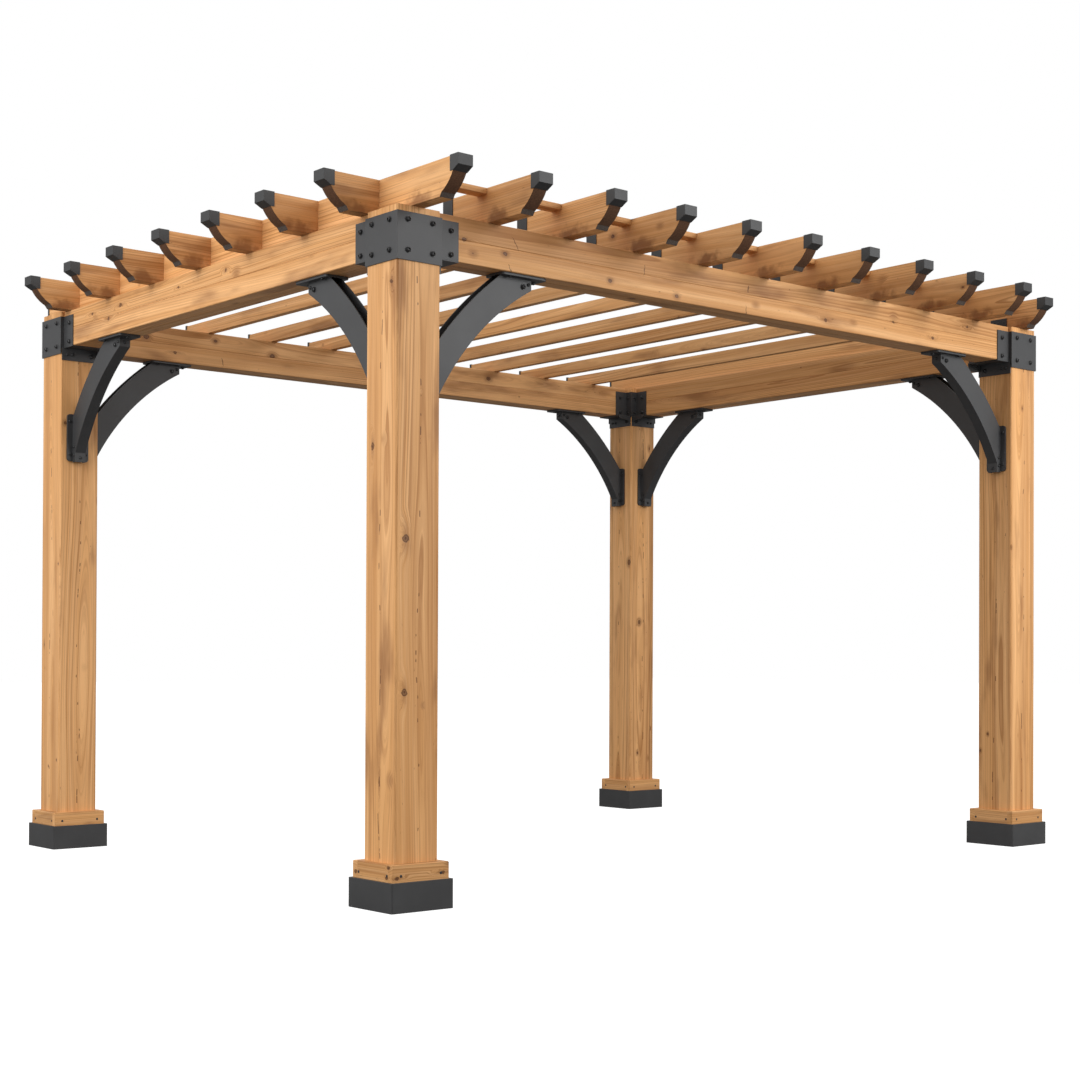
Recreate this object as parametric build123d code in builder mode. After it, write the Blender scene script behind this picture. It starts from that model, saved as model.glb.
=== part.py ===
from build123d import *
import os
from math import sqrt

# Cedar pergola: four posts on steel boots, a ring of beams, knee braces and capped rafters.
# Millimetres. The origin is on the floor, +X runs along the long beams and +Z is up.

os.makedirs("parts", exist_ok=True)

# Posts and plan
post = 160
plan_x = 3230
plan_y = 2430
frame_top = 2115
arris = 4

# Boots and base boards
boot_out = 35
boot_height = 90
boot_sheet = 5
boot_floor = 8
boot_corner = 6
board = 24
board_top = 142
board_arris = 2

# Beams
beam_height = 140
beam_thick = 110
beam_setback = 15
beam_arris = 2
seam = 2

# Rafters
rafter_count = 11
rafter_thick = 50
rafter_inset = 50
tail_depth = 110
bar_thick = 30
bar_depth = 52
bar_start = 245
front_out = 233
back_out = 64
last_tail_cut = 112

# Side tails
side_count = 7
side_clear = 7
side_out = 155

# Tail end profile, measured back from the tip and down from the top
nose_drop = 28
chin_back, chin_drop = 24, 42
heel_back, heel_drop = 80, 97
sole_back = 89
cut_bulge = 6

# Caps
cap_sheet = 2.5
cap_length = 40
back_cap_length = 10
heel_cap_length = 50

# Filler strips between the front tails
filler_front = 24
filler_width = 48
filler_thick = 18

# Corner brackets and saddles
steel = 4
bracket_drop = 20
bracket_height = 146
wing = 78
saddle_wing = 74
seat_width = 146
leg_width, leg_height = 154, 50
lip_root, lip_tip = 28, 14

# Angles that hold the first and last rafters on the front beam
clip_sheet = 3
clip_foot, clip_length, clip_height = 36, 78, 50
clip_past_beam = 18

# Knee braces, measured from the post's inner face and down from the beam
brace_width = 44
plate_width = 90
plate_thick = 8
plate_start, plate_end = 262, 448
plate_corner = 12
brace_head = 400
brace_head_drop = 42
brace_toe = 30
brace_toe_top = 415
brace_foot = 452
brace_inner = 272
arch_sagitta = 38
inner_sagitta = 14

# Levels and grid worked out from the sizes above
mid_y = (front_out - back_out) / 2
beam_bottom = frame_top - beam_height
rafter_top = frame_top + tail_depth
face_x = plan_x / 2
front_y = mid_y - plan_y / 2
back_y = mid_y + plan_y / 2
grid_x = face_x - post / 2
grid_y = plan_y / 2 - post / 2
pitch_x = (plan_x - 2 * rafter_inset - rafter_thick) / (rafter_count - 1)
pitch_y = (plan_y - 2 * (post + side_clear) - rafter_thick) / (side_count - 1)
first_x = -face_x + rafter_inset + rafter_thick / 2
corners = {
    "front_left": (-1, -1),
    "front_right": (1, -1),
    "back_left": (-1, 1),
    "back_right": (1, 1),
}


def save(part, name):
    """Write one node."""
    part.label = name
    export_step(part, f"parts/{name}.step")


def place_corner(part, side_x, side_y):
    """Move a piece drawn at the front left post to another corner."""
    if side_x > 0:
        part = mirror(part, Plane.YZ)
    if side_y > 0:
        part = mirror(part, Plane.XZ)
    return part.moved(Location((0, mid_y, 0)))


# Post, drawn on the axis of the plan
with BuildPart() as post_shape:
    with BuildSketch(Plane.XY.offset(boot_floor)):
        Rectangle(post, post)
    extrude(amount=frame_top - boot_floor)
    chamfer(post_shape.edges().filter_by(Axis.Z), arris)

# Boot: floor plate, skirt and a returned rim that meets the boards
boot_side = post + 2 * boot_out
collar_side = post + 2 * board
with BuildPart() as boot_shape:
    with BuildSketch():
        RectangleRounded(boot_side, boot_side, boot_corner)
    extrude(amount=boot_height)
    with BuildSketch(Plane.XY.offset(boot_floor)):
        Rectangle(boot_side - 2 * boot_sheet, boot_side - 2 * boot_sheet)
    extrude(amount=boot_height - boot_floor - boot_sheet, mode=Mode.SUBTRACT)
    with BuildSketch(Plane.XY.offset(boot_height - boot_sheet)):
        Rectangle(collar_side, collar_side)
    extrude(amount=boot_sheet, mode=Mode.SUBTRACT)

# Base boards: two long and two short around the post
with BuildPart() as collar_shape:
    with BuildSketch(Plane.XY.offset(boot_floor)):
        with Locations((0, post / 2 + board / 2), (0, -post / 2 - board / 2)):
            Rectangle(collar_side, board)
    extrude(amount=board_top - boot_floor)
    with BuildSketch(Plane.XY.offset(boot_floor)):
        with Locations((post / 2 + board / 2, 0), (-post / 2 - board / 2, 0)):
            Rectangle(board, post)
    extrude(amount=board_top - boot_floor)
    chamfer(collar_shape.faces().sort_by(Axis.Z)[-1].outer_wire().edges(), board_arris)

for corner, (side_x, side_y) in corners.items():
    spot = Location((side_x * grid_x, mid_y + side_y * grid_y, 0))
    save(post_shape.part.moved(spot), f"post_{corner}")
    save(boot_shape.part.moved(spot), f"boot_{corner}")
    save(collar_shape.part.moved(spot), f"base_boards_{corner}")

# Beams between the posts, with a seam groove round the middle of each board pair
beam_mid = post / 2 - beam_setback - beam_thick / 2
for name, span, turn, x, y in (
    ("beam_front", plan_x - 2 * post, 0, 0, mid_y - grid_y - beam_mid),
    ("beam_back", plan_x - 2 * post, 180, 0, mid_y + grid_y + beam_mid),
    ("beam_left", plan_y - 2 * post, 270, -grid_x - beam_mid, mid_y),
    ("beam_right", plan_y - 2 * post, 90, grid_x + beam_mid, mid_y),
):
    with BuildPart() as beam:
        with BuildSketch(Plane.YZ.offset(-span / 2)):
            Rectangle(beam_thick, beam_height)
            chamfer(vertices(), beam_arris)
            with Locations((beam_thick / 2, 0), (-beam_thick / 2, 0), (0, -beam_height / 2)):
                Rectangle(seam * sqrt(2), seam * sqrt(2), 45, mode=Mode.SUBTRACT)
        extrude(amount=span)
    place = Location((x, y, frame_top - beam_height / 2), (0, 0, turn))
    save(beam.part.moved(place), name)


# Rafters


def tail_line(tip, top):
    """End profile of a tail whose tip is at the left, as a closed outline from there to its sole."""
    nose = (tip, top - nose_drop)
    chin = (tip + chin_back, top - chin_drop)
    heel = (tip + heel_back, top - heel_drop)
    sole = (tip + sole_back, top - tail_depth)
    Polyline((tip, top), nose, chin)
    SagittaArc(chin, heel, -cut_bulge)
    Line(heel, sole)
    return sole


def rafter_solid(x, tip, full_depth):
    """One rafter along Y at x: a deep plank to the back, or a short one that goes on as a slim bar."""
    end = back_y + back_out - cap_sheet
    deep_end = end if full_depth else front_y + bar_start
    with BuildPart() as rafter:
        with BuildSketch(Plane.YZ.offset(x - rafter_thick / 2)):
            with BuildLine():
                sole = tail_line(tip, rafter_top)
                Polyline(sole, (deep_end, frame_top), (deep_end, rafter_top), (tip, rafter_top))
            make_face()
        extrude(amount=rafter_thick)
        if not full_depth:
            bar_length = end - front_y - bar_start
            with Locations((x, end - bar_length / 2, frame_top + bar_depth / 2)):
                Box(bar_thick, bar_length, bar_depth)
    return rafter.part


rafter_xs = [first_x + i * pitch_x for i in range(rafter_count)]
tail_tips = [front_y - front_out + cap_sheet] * (rafter_count - 1)
tail_tips.append(front_y - front_out + last_tail_cut + cap_sheet)
for i, (x, tip) in enumerate(zip(rafter_xs, tail_tips)):
    rim = i in (0, rafter_count - 1)
    save(rafter_solid(x, tip, rim), f"rafter_{i + 1:02}")

# Side tails butt on the outer faces of the first and last rafters
first_y = front_y + post + side_clear + rafter_thick / 2
side_ys = [first_y + i * pitch_y for i in range(side_count)]
side_tip = -face_x - side_out + cap_sheet
side_root = first_x - rafter_thick / 2
with BuildPart() as side_tail:
    with BuildSketch(Plane.XZ.offset(-rafter_thick / 2)):
        with BuildLine():
            sole = tail_line(side_tip, rafter_top)
            Polyline(sole, (side_root, frame_top), (side_root, rafter_top), (side_tip, rafter_top))
        make_face()
    extrude(amount=rafter_thick)
with BuildPart() as side_tails_left:
    with Locations(*[(0, y, 0) for y in side_ys]):
        add(side_tail.part)
save(side_tails_left.part, "side_tails_left")
save(mirror(side_tails_left.part, Plane.YZ), "side_tails_right")

# Folded cap for a tail end, drawn with the wood's tip at x = 0, y = 0 and the wood's top at z = 0
with BuildPart() as tail_cap:
    with BuildSketch(Plane.XZ.offset(-rafter_thick / 2 - cap_sheet)):
        with BuildLine():
            Polyline(
                (-cap_sheet, cap_sheet),
                (cap_length - cap_sheet, cap_sheet),
                (cap_length - cap_sheet, -chin_drop - cap_sheet),
                (chin_back, -chin_drop - cap_sheet),
                (-cap_sheet, -nose_drop - cap_sheet),
                close=True,
            )
        make_face()
    extrude(amount=rafter_thick + 2 * cap_sheet)
    with BuildSketch(Plane.XZ.offset(-rafter_thick / 2)):
        with BuildLine():
            Polyline(
                (0, 0),
                (cap_length, 0),
                (cap_length, -tail_depth),
                (chin_back, -tail_depth),
                (chin_back, -chin_drop),
                (0, -nose_drop),
                close=True,
            )
        make_face()
    extrude(amount=rafter_thick, mode=Mode.SUBTRACT)

with BuildPart() as tail_caps_front:
    with Locations(*[Location((x, tip, rafter_top), (0, 0, 90)) for x, tip in zip(rafter_xs, tail_tips)]):
        add(tail_cap.part)
save(tail_caps_front.part, "tail_caps_front")
with BuildPart() as tail_caps_left:
    with Locations(*[(side_tip, y, rafter_top) for y in side_ys]):
        add(tail_cap.part)
save(tail_caps_left.part, "tail_caps_left")
save(mirror(tail_caps_left.part, Plane.YZ), "tail_caps_right")

# Square end caps at the back
end = back_y + back_out
with BuildPart() as tail_caps_back:
    for i, x in enumerate(rafter_xs):
        rim = i in (0, rafter_count - 1)
        thick, depth = (rafter_thick, tail_depth) if rim else (bar_thick, bar_depth)
        with Locations((x, end - back_cap_length / 2, frame_top + depth / 2)):
            Box(thick + 2 * cap_sheet, back_cap_length, depth + 2 * cap_sheet)
        with Locations((x, end - cap_sheet - back_cap_length / 2, frame_top + depth / 2)):
            Box(thick, back_cap_length, depth, mode=Mode.SUBTRACT)
save(tail_caps_back.part, "tail_caps_back")

# Filler strips flush with the tops of the front tails
with BuildPart() as fillers:
    mid = front_y + filler_front + filler_width / 2
    for x in rafter_xs[:-1]:
        with Locations((x + pitch_x / 2, mid, rafter_top - filler_thick / 2)):
            Box(pitch_x - rafter_thick, filler_width, filler_thick)
save(fillers.part, "filler_strips")

# Caps folded over the rear ends of the deep planks, notched for the bars, and the rim rafters' angles
deep_end = front_y + bar_start
beam_rear = front_y + beam_setback + beam_thick
with BuildPart() as clips:
    for x in rafter_xs[1:-1]:
        with Locations((x, deep_end + cap_sheet - heel_cap_length / 2, rafter_top + cap_sheet)):
            Box(
                rafter_thick + 2 * cap_sheet,
                heel_cap_length,
                tail_depth + cap_sheet,
                align=(Align.CENTER, Align.CENTER, Align.MAX),
            )
        with Locations((x, deep_end - heel_cap_length / 2, frame_top + tail_depth / 2)):
            Box(rafter_thick, heel_cap_length, tail_depth, mode=Mode.SUBTRACT)
        with Locations((x, deep_end, frame_top + bar_depth / 2)):
            Box(bar_thick, heel_cap_length, bar_depth, mode=Mode.SUBTRACT)
    for x, inward in ((rafter_xs[0] + rafter_thick / 2, 1), (rafter_xs[-1] - rafter_thick / 2, -1)):
        middle = beam_rear + clip_past_beam - clip_length / 2
        with Locations((x + inward * clip_sheet / 2, middle, frame_top + clip_height / 2)):
            Box(clip_sheet, clip_length, clip_height)
        foot_length = clip_length - clip_past_beam
        foot_x = x + inward * clip_foot / 2
        with Locations((foot_x, beam_rear - foot_length / 2, frame_top + clip_sheet / 2)):
            Box(clip_foot, foot_length, clip_sheet)
save(clips.part, "rafter_clips")

# Corner bracket, drawn at the front left post
left = -face_x
front = -plan_y / 2
with BuildPart() as bracket:
    with BuildSketch(Plane.XY.offset(frame_top - bracket_drop - bracket_height)):
        with BuildLine():
            Polyline(
                (left - steel, front - steel),
                (left + post + steel, front - steel),
                (left + post + steel, front),
                (left + post, front),
                (left, front),
                (left, front + post),
                (left, front + post + steel),
                (left - steel, front + post + steel),
                close=True,
            )
        make_face()
    extrude(amount=bracket_height)
    with BuildSketch(Plane.XY.offset(beam_bottom)):
        with BuildLine():
            Polyline(
                (left + post, front - steel),
                (left + post + steel, front - steel),
                (left + post + steel, front + beam_setback - steel),
                (left + post + wing, front + beam_setback - steel),
                (left + post + wing, front + beam_setback),
                (left + post, front + beam_setback),
                close=True,
            )
        make_face()
        with BuildLine():
            Polyline(
                (left - steel, front + post),
                (left - steel, front + post + steel),
                (left + beam_setback - steel, front + post + steel),
                (left + beam_setback - steel, front + post + wing),
                (left + beam_setback, front + post + wing),
                (left + beam_setback, front + post),
                close=True,
            )
        make_face()
    extrude(amount=beam_height - bracket_drop)

# Saddle: bracket on the post's inner corner, with a folded seat under each beam
inner_x = left + post
inner_y = front + post
beam_x = left + beam_setback + beam_thick
beam_y = front + beam_setback + beam_thick

# Seat under the beam that runs along +X from the post, lipped along the side away from the street
seat_y = front + beam_setback - steel
with BuildPart() as seat:
    with Locations((inner_x + wing / 2, seat_y + seat_width / 2, beam_bottom - steel / 2)):
        Box(wing, seat_width, steel)
    with Locations((inner_x + steel / 2, front + post / 2, beam_bottom - leg_height / 2)):
        Box(steel, leg_width, leg_height)
    with BuildSketch(Plane.XZ.offset(-seat_y - seat_width)):
        with BuildLine():
            Polyline(
                (inner_x, beam_bottom),
                (inner_x + wing, beam_bottom),
                (inner_x + wing, beam_bottom - lip_tip),
                (inner_x, beam_bottom - lip_root),
                close=True,
            )
        make_face()
    extrude(amount=steel)

# Both seats are one shape, mirrored across the post's diagonal
diagonal = Plane(origin=(left, front, 0), x_dir=(1, 1, 0), z_dir=(-1, 1, 0))
with BuildPart() as saddle:
    with BuildSketch(Plane.XY.offset(beam_bottom - steel)):
        with BuildLine():
            Polyline(
                (inner_x, beam_y),
                (inner_x + saddle_wing, beam_y),
                (inner_x + saddle_wing, beam_y + steel),
                (inner_x + steel, beam_y + steel),
                (inner_x + steel, inner_y + steel),
                (beam_x + steel, inner_y + steel),
                (beam_x + steel, inner_y + saddle_wing),
                (beam_x, inner_y + saddle_wing),
                (beam_x, inner_y),
                (inner_x, inner_y),
                close=True,
            )
        make_face()
    extrude(amount=beam_height - bracket_drop + steel)
    add(seat.part)
    add(mirror(seat.part, diagonal))

# Knee brace under a beam along +X, with x = 0 on the post's face and z = 0 under the beam
toe = (brace_toe, -brace_foot)
arch_top = (brace_head, -brace_head_drop)
arch_end = (brace_toe, -brace_toe_top)
inner_top = (brace_inner, -plate_thick)
inner_end = (plate_thick, -brace_inner)
with BuildPart() as brace:
    with BuildSketch(Plane.XZ.offset(-brace_width / 2)):
        with BuildLine():
            Polyline(inner_top, (brace_head, -plate_thick), arch_top)
            SagittaArc(arch_top, arch_end, -arch_sagitta)
            Polyline(arch_end, toe, (plate_thick, -brace_foot), inner_end)
            SagittaArc(inner_end, inner_top, inner_sagitta)
        make_face()
    extrude(amount=brace_width)
    with BuildSketch(Plane.XZ.offset(-brace_width / 2 + steel)):
        with BuildLine():
            Polyline(
                (plate_thick, -plate_thick),
                (brace_head - steel, -plate_thick),
                (brace_head - steel, -brace_head_drop),
            )
            SagittaArc(
                (brace_head - steel, -brace_head_drop),
                (brace_toe - steel, -brace_toe_top),
                -arch_sagitta,
            )
            Polyline(
                (brace_toe - steel, -brace_toe_top),
                (brace_toe - steel, -brace_foot),
                (plate_thick, -brace_foot),
                (plate_thick, -plate_thick),
            )
        make_face()
    extrude(amount=brace_width - 2 * steel, mode=Mode.SUBTRACT)
    with BuildSketch(Plane.XY.offset(-plate_thick)):
        with Locations(((plate_start + plate_end) / 2, 0)):
            RectangleRounded(plate_end - plate_start, plate_width, plate_corner)
    extrude(amount=plate_thick)
    with BuildSketch(Plane.YZ):
        with Locations((0, -(plate_start + plate_end) / 2)):
            RectangleRounded(plate_width, plate_end - plate_start, plate_corner)
    extrude(amount=plate_thick)

beam_axis_x = left + beam_setback + beam_thick / 2
beam_axis_y = front + beam_setback + beam_thick / 2
brace_x = brace.part.moved(Location((inner_x, beam_axis_y, beam_bottom)))
brace_y = brace.part.moved(Location((beam_axis_x, inner_y, beam_bottom), (0, 0, 90)))
for corner, (side_x, side_y) in corners.items():
    save(place_corner(bracket.part, side_x, side_y), f"corner_bracket_{corner}")
    save(place_corner(saddle.part, side_x, side_y), f"saddle_{corner}")
    save(place_corner(brace_x, side_x, side_y), f"knee_brace_x_{corner}")
    save(place_corner(brace_y, side_x, side_y), f"knee_brace_y_{corner}")
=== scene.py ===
from math import cos, pi, radians, sin

import bpy
from mathutils import Matrix, Vector


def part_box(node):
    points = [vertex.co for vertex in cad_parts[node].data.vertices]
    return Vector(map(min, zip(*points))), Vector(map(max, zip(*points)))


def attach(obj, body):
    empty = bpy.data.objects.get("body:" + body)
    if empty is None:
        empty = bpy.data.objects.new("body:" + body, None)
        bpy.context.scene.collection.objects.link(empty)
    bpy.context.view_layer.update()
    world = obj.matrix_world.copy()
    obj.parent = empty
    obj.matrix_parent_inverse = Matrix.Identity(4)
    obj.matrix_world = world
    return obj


bl_info = {
    "name": "Cedar pergola",
    "version": (1, 0, 0),
    "blender": (4, 5, 0),
    "location": "3D View > Sidebar > Pergola",
    "description": "Dresses the packed pergola in cedar and coated steel and sets it in a plain studio",
    "category": "Object",
}

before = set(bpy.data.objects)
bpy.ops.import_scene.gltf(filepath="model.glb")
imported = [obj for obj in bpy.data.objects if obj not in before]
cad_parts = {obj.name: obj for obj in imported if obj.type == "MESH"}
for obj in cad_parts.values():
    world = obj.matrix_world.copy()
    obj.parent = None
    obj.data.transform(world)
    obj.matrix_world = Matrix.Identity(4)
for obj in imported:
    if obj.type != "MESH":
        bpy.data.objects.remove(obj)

BODY = "root"

# Places that the frame gives: the near post, the front beam and the middle of the plan
POST_LOW, POST_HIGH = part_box("post_front_left")
BEAM_LOW, BEAM_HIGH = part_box("beam_front")
POST_SIDE = POST_HIGH.x - POST_LOW.x
MID_Y = (POST_LOW.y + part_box("post_back_right")[1].y) / 2
FRAME_TOP = BEAM_HIGH.z
BEAM_BOTTOM = BEAM_LOW.z
INNER_X = POST_HIGH.x
INNER_Y = POST_HIGH.y

# Sides of the plan on which the four corners lie
CORNERS = ((-1, -1), (1, -1), (-1, 1), (1, 1))

# Distance that stands for no mark at all
FAR_AWAY = 9.0

# Height of the bare heels of the tails over the beams
HEEL_RISE = 0.0135

# Rows of bolts under the beams' top, on the posts' plates and on the wings
PLATE_ROWS = (0.043, 0.135)
WING_ROWS = (0.049, 0.123)

# Middle of the object, at which the lamps aim, and half of the floor's side
LAMP_AIM = Vector((0, 0, 1.2))
FLOOR_HALF = 40

# Knots and checks that the photograph shows, as (middle, half sizes, lean of a check off the vertical).
# A half size across a face is large enough to reach the face from the middle.
POST_MARKS = (
    ((-1.581, -1.1305, 1.115), (0.014, 0.03, 0.014), 0),
    ((-1.583, -1.1305, 0.654), (0.0125, 0.03, 0.0125), 0),
    ((-1.615, -1.006, 1.398), (0.03, 0.008, 0.012), 0),
    ((-1.615, -1.049, 0.384), (0.02, 0.004, 0.018), 0),
    ((-1.615, -1.1, 1.885), (0.012, 0.009, 0.007), 0),
)
LONG_BEAM_MARKS = (
    ((-1.353, -1.1155, 2.048), (0.011, 0.03, 0.0075), 0),
    ((-1.147, -1.1155, 2.064), (0.0016, 0.02, 0.028), 0.6),
    ((-1.167, -1.1155, 1.98), (0.0016, 0.02, 0.022), 0.6),
    ((-0.588, -1.1155, 2.06), (0.0018, 0.02, 0.022), -0.15),
    ((-0.603, -1.1155, 1.965), (0.0026, 0.02, 0.013), 0.2),
    ((-0.084, -1.1155, 2.065), (0.0034, 0.02, 0.016), -0.2),
    ((-0.094, -1.1155, 1.985), (0.0018, 0.02, 0.024), 0.1),
    ((0.33, -1.1155, 2.005), (0.009, 0.03, 0.007), 0),
    ((0.72, -1.1155, 2.045), (0.008, 0.03, 0.005), 0),
    ((0.96, -1.1155, 2.012), (0.009, 0.03, 0.008), 0),
    ((1.18, -1.1155, 2.082), (0.007, 0.03, 0.006), 0),
    ((-1.093, 1.1845, 2.016), (0.01, 0.03, 0.006), 0),
    ((-0.87, 1.1845, 2.0), (0.0026, 0.02, 0.026), 0.25),
)
SHORT_BEAM_MARKS = (
    ((-1.6, -0.102, 2.082), (0.03, 0.006, 0.01), 0),
    ((-1.6, 0.228, 2.072), (0.03, 0.007, 0.005), 0),
    ((-1.6, 0.669, 2.074), (0.03, 0.012, 0.009), 0),
    ((-1.6, 0.901, 2.075), (0.03, 0.01, 0.006), 0),
    ((-1.6, 0.765, 2.037), (0.03, 0.009, 0.01), 0),
)


# Settings


def number_setting(name, description, default, **limits):
    """Setting for a number."""
    return bpy.props.FloatProperty(name=name, description=description, default=default, **limits)


def share_setting(name, description, default):
    """Setting for a share from 0 to 1."""
    return number_setting(name, description, default, min=0, max=1, subtype="FACTOR")


def length_setting(name, description, default, least=0):
    """Setting for a length."""
    return number_setting(name, description, default, min=least, unit="LENGTH")


def angle_setting(name, description, degrees):
    """Setting for an angle."""
    return number_setting(name, description, radians(degrees), subtype="ANGLE")


def place_setting(name, description, default):
    """Setting for a place."""
    return bpy.props.FloatVectorProperty(
        name=name, description=description, default=default, size=3, subtype="XYZ", unit="LENGTH"
    )


def colour_setting(name, description, default):
    """Setting for a colour."""
    return bpy.props.FloatVectorProperty(
        name=name, description=description, default=default, size=3, min=0, max=1, subtype="COLOR"
    )


class CedarLook(bpy.types.PropertyGroup):
    """Colours and figure of the cedar."""

    light: colour_setting("Light wood", "Colour of the early wood in full light", (0.83, 0.47, 0.21))
    warm: colour_setting("Warm wood", "Colour of the redder streaks", (0.735, 0.385, 0.15))
    ring: colour_setting("Late wood", "Colour of the growth-ring lines", (0.33, 0.13, 0.036))
    deep: colour_setting("Long streaks", "Colour of the long darker streaks", (0.42, 0.18, 0.056))
    # The brown of the clouds and knot halos, also used for the painted contact shade low on the tails
    cloud_and_shade_brown: colour_setting("Brown clouds and painted shade", "Colour of the broad brown clouds", (0.22, 0.085, 0.031))
    knot: colour_setting("Knots", "Colour of the knots and pin marks", (0.085, 0.032, 0.014))
    walnut: colour_setting("Stained cuts", "Colour of the stain on the tails' cuts", (0.098, 0.047, 0.025))
    heel: colour_setting("Bare heels", "Colour of the flats below the stained cuts", (0.078, 0.06, 0.05))
    ring_width: length_setting("Ring width", "Width of one growth ring", 0.0085, 0.001)
    knot_size: length_setting("Knot radius", "Radius of the largest knots", 0.011, 0.001)
    arris: length_setting("Softened edge", "Radius of the sanded edges", 0.0022)
    roughness: share_setting("Roughness", "Roughness of the oiled wood", 0.52)


class SteelLook(bpy.types.PropertyGroup):
    """Colours and texture of the coated steel and the bolts."""

    coat: colour_setting("Powder coat", "Colour of the brackets, saddles and braces", (0.04, 0.0405, 0.042))
    dark: colour_setting("Boots", "Colour of the coat on the boots", (0.041, 0.041, 0.042))
    cap: colour_setting("Caps", "Colour of the darkest coat, on the caps and clips", (0.024, 0.0242, 0.025))
    worn: colour_setting("Rubbed edge", "Colour of the coat along its edges", (0.1, 0.102, 0.105))
    bolt: colour_setting("Bolts", "Colour of the blackened bolts", (0.022, 0.022, 0.023))
    roughness: share_setting("Coat roughness", "Roughness of the powder coat", 0.5)
    bolt_roughness: share_setting("Bolt roughness", "Roughness of the blackened bolts", 0.34)
    edge: length_setting("Edge radius", "Radius of the folded and cut edges", 0.0012)
    bolt_edge: length_setting("Bolt edge radius", "Radius of the bolts' edges", 0.0004)


class FastenerSizes(bpy.types.PropertyGroup):
    """Sizes of the bolts and screws."""

    bolt_radius: length_setting("Bolt head radius", "Radius of a large bolt's domed head", 0.0079, 0.002)
    bolt_height: length_setting("Bolt head height", "Height of a large bolt's head", 0.0062, 0.001)
    small_radius: length_setting("Small bolt radius", "Radius of the small bolts' heads", 0.0055, 0.001)
    small_height: length_setting("Small bolt height", "Height of the small bolts' heads", 0.004, 0.001)
    screw_radius: length_setting("Screw head radius", "Radius of the flat screws' heads", 0.0045, 0.001)


class StudioSetup(bpy.types.PropertyGroup):
    """Camera, lamps and floor."""

    eye: place_setting("Camera", "Where the camera stands", (-4.7604, -5.529, 0.765))
    turn: angle_setting("Turn", "How far the camera is turned from +Y", -40.127)
    tilt: angle_setting("Tilt", "How far the camera is tilted up from straight down", 90.5)
    roll: angle_setting("Roll", "How far the camera is rolled about its view", 0.227)
    lens: number_setting("Focal length", "Focal length on a 36 mm sensor", 60.334, min=1, unit="CAMERA")
    rise: number_setting("Rise", "Upward shift of the lens, as a share of the picture", 0.0926)
    side_place: place_setting("Side lamp", "Where the lamp to the left stands", (-4.9, 0.1, 2.7))
    side_level: number_setting("Side light", "Light that it gives a surface that faces it", 0.41, min=0)
    front_place: place_setting("Front lamp", "Where the lamp in front stands", (2.2, -5.2, 3.0))
    front_level: number_setting("Front light", "Light that it gives a surface that faces it", 0.52, min=0)
    lamp_side: length_setting("Lamp size", "Side of the square lamps", 3.0, 0.01)
    sky: number_setting("Sky", "Even light from all round", 0.8, min=0)
    floor: share_setting("Floor grey", "How much light the floor throws back on the object", 0.2)
    shade: share_setting("Floor shade", "How much of a shadow shows on the white floor", 0.35)
    glow: share_setting("Floor white", "How white the floor shows in the picture", 0.88)


# Node trees


def add_node(tree, kind, inputs=None, **settings):
    """Add a node, set its options, and set or link its inputs by name or number."""
    made = tree.nodes.new(kind)
    for name, value in settings.items():
        setattr(made, name, value)
    for socket, value in (inputs or {}).items():
        if isinstance(value, bpy.types.NodeSocket):
            tree.links.new(value, made.inputs[socket])
        else:
            made.inputs[socket].default_value = value
    return made


def math(tree, operation, *values):
    """One Math node, its output."""
    return add_node(tree, "ShaderNodeMath", dict(enumerate(values)), operation=operation).outputs[0]


def vector_math(tree, operation, *values):
    """One Vector Math node, its vector, or its number where the operation gives one."""
    made = add_node(tree, "ShaderNodeVectorMath", dict(enumerate(values)), operation=operation)
    return made.outputs["Value" if operation in ("LENGTH", "DOT_PRODUCT") else "Vector"]


def fade(tree, value, low, high, start=0.0, end=1.0):
    """Smooth step of value from start at low to end at high."""
    inputs = {"Value": value, "From Min": low, "From Max": high, "To Min": start, "To Max": end}
    made = add_node(tree, "ShaderNodeMapRange", inputs, interpolation_type="SMOOTHSTEP")
    return made.outputs["Result"]


def blend(tree, share, first, second, mode="MIX"):
    """Mix two colours by share."""
    made = add_node(tree, "ShaderNodeMix", data_type="RGBA", blend_type=mode)
    for socket, value in ((0, share), (6, first), (7, second)):
        if isinstance(value, bpy.types.NodeSocket):
            tree.links.new(value, made.inputs[socket])
        elif socket == 0:
            made.inputs[socket].default_value = value
        else:
            made.inputs[socket].default_value = (*value, 1)
    return made.outputs[2]


def noise(tree, point, scale, detail=2.0, roughness=0.5):
    """Noise of one scale, as a number near a half."""
    inputs = {"Vector": point, "Scale": scale, "Detail": detail, "Roughness": roughness}
    return add_node(tree, "ShaderNodeTexNoise", inputs).outputs[0]


def stretched(tree, point, across, along):
    """Grain-space point scaled across and along the grain."""
    return vector_math(tree, "MULTIPLY", point, (across, across, along))


def group_shell(name, inputs, outputs):
    """Empty node group with its sockets, as (group, input node, output node)."""
    group = bpy.data.node_groups.new(name, "ShaderNodeTree")
    for way, sockets in (("INPUT", inputs), ("OUTPUT", outputs)):
        for label, kind in sockets.items():
            group.interface.new_socket(label, in_out=way, socket_type=f"NodeSocket{kind}")
    return group, group.nodes.new("NodeGroupInput"), group.nodes.new("NodeGroupOutput")


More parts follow.
